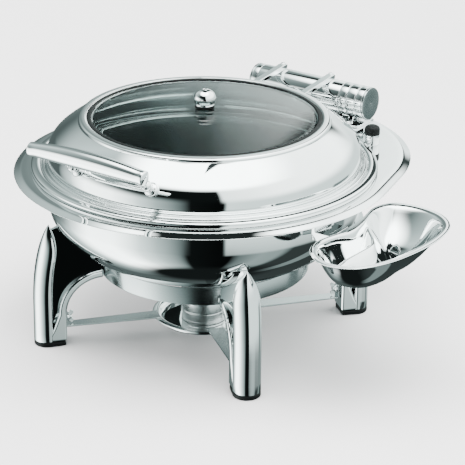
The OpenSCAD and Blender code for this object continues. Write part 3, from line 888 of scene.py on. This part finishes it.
# ------------------------------------------------------------------ spoon rest
dish_z = high("spoon_dish").z
dish_rim = [(207, -84), (218, -114), (244, -132), (277, -125), (299, -92), (310, -45),
            (312, 0), (303, 40), (280, 64), (248, 72), (218, 65), (206, 40), (212, 0),
            (214, -42)]
dish_crest = smooth_line([(206, 17), (227, -7), (242, -24), (251, -42), (251, -66),
                          (250, -88), (252, -107), (256, -128)], 20)
dish_deep = dish_z - low("spoon_dish").z - 3
wall_reach, wall_swing, wall_front, wall_back = 28, 6, 8, 30
lip_w, dish_t = 7.5, 1.2
crest_drop, crest_soft, crest_slope, crest_blend = 8, 4, 1.7, 4
rim_line = smooth_line(dish_rim, 10, closed=True)
dish_middle = sum(rim_line, Vector((0, 0))) / len(rim_line)


def pressed(distance, away):
    """Depth of the pressed wall at a distance in from the lip."""
    across, along = away.normalized()
    end = wall_front if along < 0 else wall_back
    reach = wall_reach + wall_swing * across + end * along ** 2
    soft = math.hypot(distance, 2.5) - 2.5
    return dish_deep * (1 - (1 - min(1, soft / reach)) ** 2)


def crest_height(place):
    """Height of the rounded divider at a place in the dish."""
    distance = min((place - p).length for p in dish_crest)
    return dish_z - crest_drop - crest_slope * (math.hypot(distance, crest_soft) - crest_soft)


def dish_ring(inset, share, drop, divided):
    """A ring inside the lip: inset from the rim, then a share of the way to the middle."""
    ring = []
    for p in rim_line:
        away = p - dish_middle
        edge = p - away.normalized() * inset
        inwards = (edge - dish_middle) * share
        place = edge - inwards
        height = dish_z - drop - pressed(inwards.length, away)
        if divided and share > 0:
            crest = crest_height(place)
            higher = (height + crest + math.hypot(height - crest, crest_blend)) / 2 - 0.3
            height += (higher - height) * min(1, inwards.length / 9)
        ring.append((place.x, place.y, min(height, dish_z - drop)))
    return ring


shares = [0.012, 0.03, 0.05, 0.075, 0.1] + [0.14 + 0.03 * i for i in range(28)] + [0.975]
hull = [dish_ring(lip_w - dish_t, share, dish_t + 0.4, False) for share in shares[::-1]]
lip = [dish_ring(inset, 0, drop, False) for inset, drop in
       ((lip_w - dish_t, 1.7), (4, 1.4), (1.2, 1.4), (0.4, 1.2), (0, 0.7), (0.4, 0.2), (1.2, 0),
        (4.6, 0), (5.8, 0.15), (6.3, 0.4))]
inside = [dish_ring(lip_w, share, 0.6, True) for share in [0] + shares]
add_piece("spoon_tray", *skin(hull + lip + inside), "spoon_rest", "polished_steel",
          ["spoon_dish"])

bracket_low, bracket_high = low("dish_bracket"), high("dish_bracket")
step_x, step_z = 186, bracket_low.z + 10
bracket_outline = [(bowl_at(bracket_low.z) + 0.4, bracket_low.z),
                   (bracket_high.x, bracket_low.z), (bracket_high.x, step_z),
                   (step_x, step_z), (step_x, bracket_high.z), (bowl_r + 0.6, bracket_high.z)]
bracket = add_piece("tray_bracket",
                    *placed(prism(rounded(bracket_outline, 1.5), -bracket_high.y, -bracket_low.y),
                            upright),
                    "water_pan", "polished_steel", ["dish_bracket"])
bevel(bracket, 0.8, 3, 40)

# ------------------------------------------------------------------ studio
floor_mesh = bpy.data.meshes.new("studio_floor")
floor_half = 6
floor_mesh.from_pydata([(-floor_half, -floor_half, 0), (floor_half, -floor_half, 0),
                        (floor_half, floor_half, 0), (-floor_half, floor_half, 0)],
                       [], [(0, 1, 2, 3)])
floor = bpy.data.objects.new("studio_floor", floor_mesh)
bpy.context.scene.collection.objects.link(floor)
floor_material, floor_tree, floor_shader, floor_place = new_material("studio_floor")
floor_shader.inputs["Roughness"].default_value = 0.9
floor_shader.inputs["Specular IOR Level"].default_value = 0.1
paper = add_noise(floor_tree, floor_place, 0.6)
floor_colour = ramp(floor_tree, paper, [(0.3, (0.86, 0.80, 0.81)), (0.7, (0.88, 0.82, 0.83))])
floor_tree.links.new(floor_colour, floor_shader.inputs["Base Color"])
floor_mesh.materials.append(floor_material)
floor.visible_glossy = False

camera_place = Vector((1.3085, -1.8502, 1.0561))
camera_target = Vector((0.06304, -0.03329, 0.14649))
camera_roll = math.radians(0.58)
camera = bpy.data.objects.new("camera", bpy.data.cameras.new("camera"))
bpy.context.scene.collection.objects.link(camera)
camera.data.lens = 161.9
camera.data.sensor_width = 36
camera_turn = (camera_target - camera_place).to_track_quat("-Z", "Y").to_matrix().to_4x4()
camera.matrix_world = move(camera_place) @ camera_turn @ Matrix.Rotation(camera_roll, 4, "Z")
bpy.context.scene.camera = camera


def grey(value):
    """A room brightness, cooler the darker it is."""
    warmth = 0.76 + 0.04 * min(value, 4)
    return (value * warmth, value, value * 0.98)


# Brightness by bearing, in degrees to the right of the camera as the part sees it, at three
# heights. The room has a bright wall on the left, a black gap round the camera with a soft
# left edge and a sharp right one, an even pale wall on the right and greyer corners behind.
low_wall = [(-180, 0.10), (-152, 0.16), (-134, 0.6), (-118, 1.8), (-96, 7.0), (-72, 7.0),
            (-48, 2.4), (-33, 1.2), (-18, 0.4), (-12, 0.01), (21, 0.004), (28, 0.25),
            (45, 0.55), (62, 0.5), (72, 0.06), (100, 0.06), (180, 0.06)]
middle_wall = [(-180, 1.2), (-174, 0.25), (-160, 0.14), (-125, 0.15), (-108, 1.8), (-92, 6.0),
               (-68, 5.6), (-46, 1.9), (-33, 0.9), (-20, 0.4), (-9, 0.01), (15, 0.004),
               (17, 1.9), (150, 1.8), (173, 3.0), (180, 1.4)]
high_wall = [(-180, 1.4), (-174, 0.3), (-160, 0.5), (-135, 1.4), (-110, 0.9), (-75, 0.3),
             (-58, 0.08), (-44, 0.02), (-38, 0.01), (12, 0.01), (15, 3.2), (60, 4.6),
             (172, 5.5), (180, 1.6)]
ceiling, table_dark, back_card, side_card, doorway = 11.0, 0.015, 0.03, 0.08, 0.35
seen_white = 8.0            # strength of the plain white that the camera sees
# Heights, in degrees, over which one part of the room gives way to the next
to_middle, to_high, to_ceiling, to_table = (-30, -17), (2, 26), (50, 70), (-58, -74)
# Soft edges, in degrees, of the doorway low on the right, of the dark card behind the part
# on the right and of the dark band high up behind it
door_left, door_right, door_top = (103, 107), (128, 124), (-11, -14)
card_left, card_right, card_low = (149, 157), (173, 170), (8, 16)
band_side, band_low, band_top = (142, 154), (42, 50), (79, 74)


def studio_world():
    """The room as light by direction, and plain white where the camera sees it."""
    world = bpy.data.worlds.new("studio")
    bpy.context.scene.world = world
    world.use_nodes = True
    nodes, link = world.node_tree.nodes, world.node_tree.links.new
    nodes.clear()
    direction = nodes.new("ShaderNodeTexCoord").outputs["Generated"]
    ahead = Vector((camera_place.x - camera_target.x, camera_place.y - camera_target.y, 0))
    ahead.normalize()
    aside = Vector((-ahead.y, ahead.x, 0))

    def calculate(kind, *values):
        node = nodes.new("ShaderNodeMath")
        node.operation = kind
        for socket, value in zip(node.inputs, values):
            if isinstance(value, (int, float)):
                socket.default_value = value
            else:
                link(value, socket)
        return node.outputs["Value"]

    def along(axis):
        node = nodes.new("ShaderNodeVectorMath")
        node.operation = "DOT_PRODUCT"
        link(direction, node.inputs[0])
        node.inputs[1].default_value = axis
        return node.outputs["Value"]

    def step(value, start, end):
        node = nodes.new("ShaderNodeMapRange")
        node.interpolation_type = "SMOOTHSTEP"
        node.inputs["From Min"].default_value = start
        node.inputs["From Max"].default_value = end
        link(value, node.inputs["Value"])
        return node.outputs["Result"]

    def wall(bearing, stops):
        turn = nodes.new("ShaderNodeMapRange")
        turn.inputs["From Min"].default_value = -180
        turn.inputs["From Max"].default_value = 180
        link(bearing, turn.inputs["Value"])
        node = nodes.new("ShaderNodeValToRGB")
        while len(node.color_ramp.elements) < len(stops):
            node.color_ramp.elements.new(0.5)
        for element, (degrees, value) in zip(node.color_ramp.elements, stops):
            element.position = (degrees + 180) / 360
            element.color = (*grey(value), 1)
        link(turn.outputs["Result"], node.inputs["Fac"])
        return node.outputs["Color"]

    def blend(amount, below, above):
        node = nodes.new("ShaderNodeMix")
        node.data_type = "RGBA"
        link(amount, node.inputs["Factor"])
        for socket, colour in ((node.inputs[6], below), (node.inputs[7], above)):
            if isinstance(colour, (int, float)):
                socket.default_value = (*grey(colour), 1)
            else:
                link(colour, socket)
        return node.outputs[2]

    bearing = calculate("MULTIPLY", calculate("ARCTAN2", along(aside), along(ahead)),
                        180 / math.pi)
    height = calculate("MULTIPLY", calculate("ARCSINE", along((0, 0, 1))), 180 / math.pi)
    room = blend(step(height, *to_middle), wall(bearing, low_wall), wall(bearing, middle_wall))
    door = calculate("MULTIPLY", step(bearing, *door_left), step(bearing, *door_right))
    door = calculate("MULTIPLY", door, step(height, *door_top))
    room = blend(door, room, doorway)
    room = blend(step(height, *to_high), room, wall(bearing, high_wall))
    room = blend(step(height, *to_ceiling), room, ceiling)
    card = calculate("MULTIPLY", step(bearing, *card_left), step(bearing, *card_right))
    card = calculate("MULTIPLY", card, step(height, *card_low))
    room = blend(card, room, side_card)
    behind = step(calculate("ABSOLUTE", bearing), *band_side)
    band = calculate("MULTIPLY", step(height, *band_low), step(height, *band_top))
    room = blend(calculate("MULTIPLY", behind, band), room, back_card)
    room = blend(step(height, *to_table), room, table_dark)

    lit = nodes.new("ShaderNodeBackground")
    link(room, lit.inputs["Color"])
    plain = nodes.new("ShaderNodeBackground")
    plain.inputs["Color"].default_value = (1, 1, 1, 1)
    plain.inputs["Strength"].default_value = seen_white
    choose = nodes.new("ShaderNodeMixShader")
    link(nodes.new("ShaderNodeLightPath").outputs["Is Camera Ray"], choose.inputs["Fac"])
    link(lit.outputs["Background"], choose.inputs[1])
    link(plain.outputs["Background"], choose.inputs[2])
    output = nodes.new("ShaderNodeOutputWorld")
    link(choose.outputs["Shader"], output.inputs["Surface"])


studio_world()


def soft_light(name, place, size, power):
    """A large soft light that shines at the part and doesn't show in reflections."""
    light = bpy.data.lights.new(name, "AREA")
    light.size = size
    light.energy = power
    lamp = bpy.data.objects.new(name, light)
    bpy.context.scene.collection.objects.link(lamp)
    lamp.location = place
    lamp.rotation_euler = (Vector((0, 0, 0.1)) - Vector(place)).to_track_quat("-Z", "Y").to_euler()
    lamp.visible_glossy = False
    lamp.visible_transmission = False


soft_light("top_light", (0.3, -0.4, 3.0), 3.0, 120)
soft_light("side_light", (-2.2, -1.4, 1.8), 2.0, 60)

bpy.context.view_layer.update()
